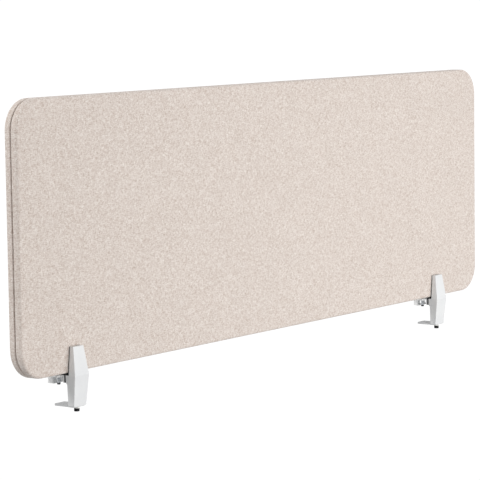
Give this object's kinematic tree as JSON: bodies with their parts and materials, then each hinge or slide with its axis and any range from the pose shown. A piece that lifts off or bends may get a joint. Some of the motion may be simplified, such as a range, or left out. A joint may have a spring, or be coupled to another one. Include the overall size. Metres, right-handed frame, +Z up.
{
  "type": "desk privacy panel",
  "caption": "Long upholstered desk privacy panel with rounded corners, held up at the desk's edge by faceted clamps with screw-driven jaws.",
  "frame": {"origin": "on the desk's top surface at the desk's edge, at the middle of the panel's length", "axes": "+X along the panel, +Y from the edge over the desk, +Z up; the panel's front face looks along -Y"},
  "size_m": [1.397, 0.0494, 0.5081],
  "materials": {
    "cover_fabric": "matte",
    "felt": "matte",
    "fibreboard": "matte",
    "core_sheet": "matte",
    "clip_plastic": "matte",
    "white_coating": "satin",
    "black_rubber": "matte",
    "zinc_steel": "satin",
    "black_steel": "satin",
    "white_nylon": "satin"
  },
  "bodies": {
    "panel": {"front_cover": "cover_fabric", "front_foam": "felt", "front_board": "fibreboard", "rear_cover": "cover_fabric", "rear_foam": "felt", "rear_board": "fibreboard", "core_sheet": "core_sheet", "joining_clips": "clip_plastic"},
    "left_clamp": {"left_leg": "white_coating", "left_bracket": "white_coating", "left_front_liner": "black_rubber", "left_rear_liner": "black_rubber", "left_bracket_screws": "zinc_steel"},
    "left_jaw": {"left_lower_jaw": "white_coating", "left_jaw_nut": "zinc_steel"},
    "left_screw": {"left_lead_screw": "black_steel", "left_thrust_washer": "white_nylon", "left_screw_clip": "black_steel", "left_stop_collar": "white_nylon"},
    "left_pad_1": {"left_pad_1": "black_rubber"},
    "left_stud_1": {"left_stud_1": "zinc_steel"},
    "left_pad_2": {"left_pad_2": "black_rubber"},
    "left_stud_2": {"left_stud_2": "zinc_steel"},
    "right_clamp": {"right_leg": "white_coating", "right_bracket": "white_coating", "right_front_liner": "black_rubber", "right_rear_liner": "black_rubber", "right_bracket_screws": "zinc_steel"},
    "right_jaw": {"right_lower_jaw": "white_coating", "right_jaw_nut": "zinc_steel"},
    "right_screw": {"right_lead_screw": "black_steel", "right_thrust_washer": "white_nylon", "right_screw_clip": "black_steel", "right_stop_collar": "white_nylon"},
    "right_pad_1": {"right_pad_1": "black_rubber"},
    "right_stud_1": {"right_stud_1": "zinc_steel"},
    "right_pad_2": {"right_pad_2": "black_rubber"},
    "right_stud_2": {"right_stud_2": "zinc_steel"}
  },
  "joints": [
    {"name": "left_clamp_slide", "type": "slide", "parent": "panel", "child": "left_clamp", "axis": [1, 0, 0], "range_m": [-0.045, 0.3]},
    {"name": "left_screw_turn", "type": "hinge", "parent": "left_clamp", "child": "left_screw", "pos_m": [-0.5695, -0.0046, -0.04], "axis": [0, 0, 1], "range_deg": [0, 7070]},
    {"name": "left_jaw_lift", "type": "slide", "parent": "left_clamp", "child": "left_jaw", "axis": [0, 0, 1], "range_m": [0, 0.0157]},
    {"name": "left_pad_1_slide", "type": "slide", "parent": "left_clamp", "child": "left_pad_1", "axis": [0, 0, 1], "range_m": [-0.0015, 0.0015]},
    {"name": "left_stud_1_turn", "type": "hinge", "parent": "left_pad_1", "child": "left_stud_1", "pos_m": [-0.5893, 0.0152, 0.01], "axis": [0, 0, 1], "range_deg": [-545, 545]},
    {"name": "left_pad_2_slide", "type": "slide", "parent": "left_clamp", "child": "left_pad_2", "axis": [0, 0, 1], "range_m": [-0.0015, 0.0015]},
    {"name": "left_stud_2_turn", "type": "hinge", "parent": "left_pad_2", "child": "left_stud_2", "pos_m": [-0.5497, 0.0152, 0.01], "axis": [0, 0, 1], "range_deg": [-545, 545]},
    {"name": "right_clamp_slide", "type": "slide", "parent": "panel", "child": "right_clamp", "axis": [1, 0, 0], "range_m": [-0.3, 0.073]},
    {"name": "right_screw_turn", "type": "hinge", "parent": "right_clamp", "child": "right_screw", "pos_m": [0.541, -0.0046, -0.04], "axis": [0, 0, 1], "range_deg": [0, 7070]},
    {"name": "right_jaw_lift", "type": "slide", "parent": "right_clamp", "child": "right_jaw", "axis": [0, 0, 1], "range_m": [0, 0.0157]},
    {"name": "right_pad_1_slide", "type": "slide", "parent": "right_clamp", "child": "right_pad_1", "axis": [0, 0, 1], "range_m": [-0.0015, 0.0015]},
    {"name": "right_stud_1_turn", "type": "hinge", "parent": "right_pad_1", "child": "right_stud_1", "pos_m": [0.5212, 0.0152, 0.01], "axis": [0, 0, 1], "range_deg": [-545, 545]},
    {"name": "right_pad_2_slide", "type": "slide", "parent": "right_clamp", "child": "right_pad_2", "axis": [0, 0, 1], "range_m": [-0.0015, 0.0015]},
    {"name": "right_stud_2_turn", "type": "hinge", "parent": "right_pad_2", "child": "right_stud_2", "pos_m": [0.5608, 0.0152, 0.01], "axis": [0, 0, 1], "range_deg": [-545, 545]}
  ],
  "couplings": [
    {"joint": "left_screw_turn", "follows": "left_jaw_lift", "rad_per_m": 7854},
    {"joint": "left_stud_1_turn", "follows": "left_pad_1_slide", "rad_per_m": 6283.2},
    {"joint": "left_stud_2_turn", "follows": "left_pad_2_slide", "rad_per_m": 6283.2},
    {"joint": "right_screw_turn", "follows": "right_jaw_lift", "rad_per_m": 7854},
    {"joint": "right_stud_1_turn", "follows": "right_pad_1_slide", "rad_per_m": 6283.2},
    {"joint": "right_stud_2_turn", "follows": "right_pad_2_slide", "rad_per_m": 6283.2}
  ]
}
